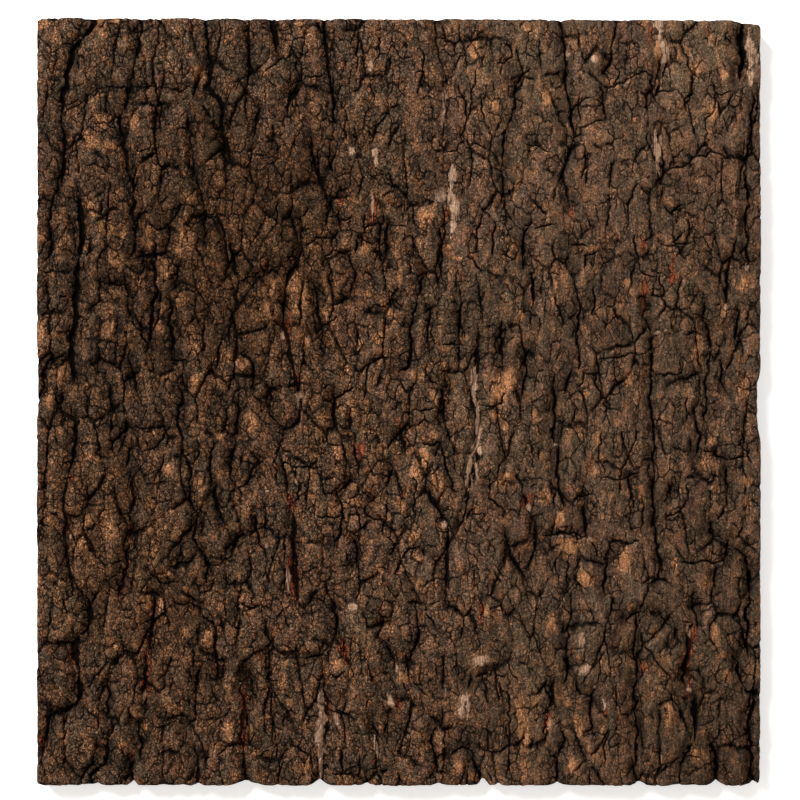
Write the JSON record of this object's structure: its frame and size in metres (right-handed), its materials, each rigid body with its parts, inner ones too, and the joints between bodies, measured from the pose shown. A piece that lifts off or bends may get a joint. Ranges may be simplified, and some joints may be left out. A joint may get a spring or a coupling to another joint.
{
  "type": "bark slab",
  "caption": "Flat square-sawn slab of thick furrowed natural bark, crust side up, with a level back to rest on or glue to a wall.",
  "frame": {"origin": "middle of the flat back, at the centre of the slab's outline", "axes": "+Z out of the crust, +Y along the trunk's grain (the furrows' run), +X across it"},
  "size_m": [0.5472, 0.5809, 0.0239],
  "materials": {
    "bark": "rough, matt, deeply furrowed grey-brown crust with rust-brown and tan inner cork"
  },
  "bodies": {
    "root": {"bark": "bark"}
  },
  "joints": []
}
